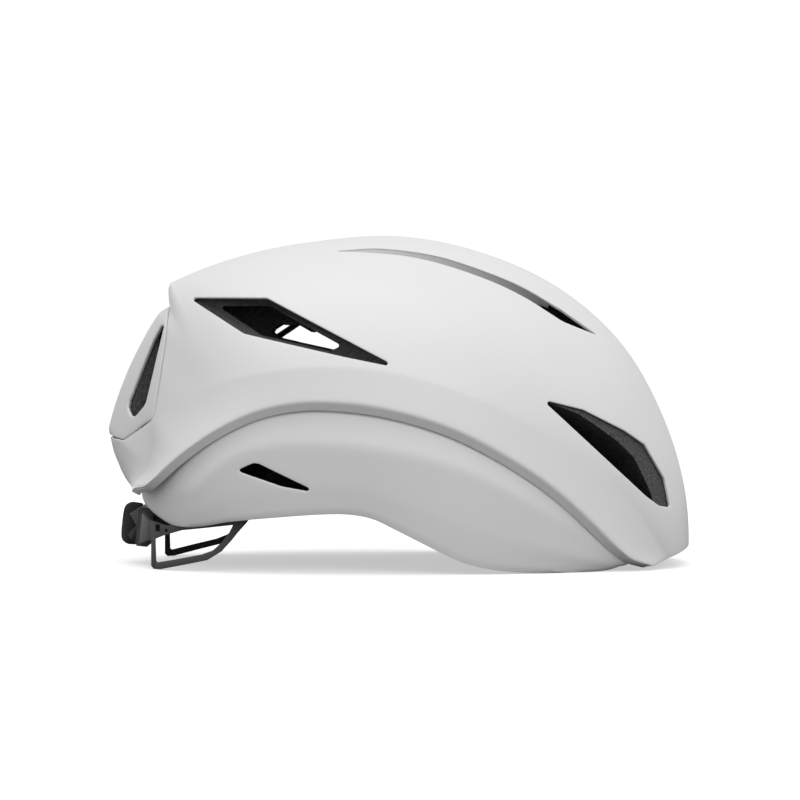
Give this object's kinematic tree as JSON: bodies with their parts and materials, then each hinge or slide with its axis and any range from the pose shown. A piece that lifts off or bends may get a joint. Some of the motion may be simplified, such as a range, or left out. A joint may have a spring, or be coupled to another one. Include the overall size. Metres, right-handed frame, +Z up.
{
  "type": "road bike helmet",
  "caption": "Road bike helmet: two moulded shells over vented foam, comfort pads, and a dial-driven cradle that closes looped arms round the back of the head and slides for height.",
  "frame": {"origin": "centre of the base of the bounding box, on the surface that the helmet stands on", "axes": "+X towards the brow, +Y towards the wearer's left, +Z up"},
  "size_m": [0.2895, 0.208, 0.1631],
  "materials": {
    "shell_white": "satin white moulded polycarbonate",
    "bezel_white": "satin white moulded polycarbonate",
    "foam_grey": "dark grey bead foam with a fine pebbled skin",
    "pad_black": "brushed black knit over open foam",
    "hook_black": "hook tape",
    "cradle_grey": "matte mid-grey nylon",
    "arm_grey": "matte dark-grey nylon",
    "knob_black": "soft-touch ribbed black",
    "gear_plastic": "pale acetal",
    "spring_steel": "bright strip",
    "screw_steel": "zinc-plated",
    "anchor_black": "matte black nylon"
  },
  "bodies": {
    "helmet": {"upper_shell": "shell_white", "lower_shell": "shell_white", "rear_bezel": "bezel_white", "foam_liner": "foam_grey", "brow_pad": "pad_black", "crown_pad": "pad_black", "side_pad_right": "pad_black", "side_pad_left": "pad_black", "nape_pad_right": "pad_black", "nape_pad_left": "pad_black", "pad_hooks": "hook_black", "strap_anchor_front": "anchor_black", "strap_anchor_rear": "anchor_black", "temple_post_right": "anchor_black", "temple_post_left": "anchor_black", "height_track": "anchor_black"},
    "cradle": {"height_slider": "cradle_grey", "cradle_housing": "cradle_grey", "housing_cover": "cradle_grey", "slider_screws": "screw_steel", "click_ring": "gear_plastic"},
    "dial": {"dial_knob": "knob_black", "drive_gear": "gear_plastic", "dial_screw": "screw_steel", "click_spring": "spring_steel"},
    "arm_right": {"wing_right": "arm_grey"},
    "arm_left": {"wing_left": "arm_grey"}
  },
  "joints": [
    {"name": "cradle_height", "type": "hinge", "parent": "helmet", "child": "cradle", "pos_m": [0.04, 0, 0.04], "axis": [0, -1, 0], "range_deg": [0, 5]},
    {"name": "dial_turn", "type": "hinge", "parent": "cradle", "child": "dial", "pos_m": [-0.1286, 0, 0.0191], "axis": [0.9945, 0, -0.1045], "range_deg": [0, 74.5]},
    {"name": "arm_right_draw", "type": "slide", "parent": "cradle", "child": "arm_right", "axis": [0, 1, 0], "range_m": [0, 0.0065]},
    {"name": "arm_left_draw", "type": "slide", "parent": "cradle", "child": "arm_left", "axis": [0, -1, 0], "range_m": [0, 0.0065]}
  ],
  "couplings": [
    {"joint": "dial_turn", "follows": "arm_right_draw", "rad_per_m": 200},
    {"joint": "arm_left_draw", "follows": "arm_right_draw", "ratio": 1}
  ]
}
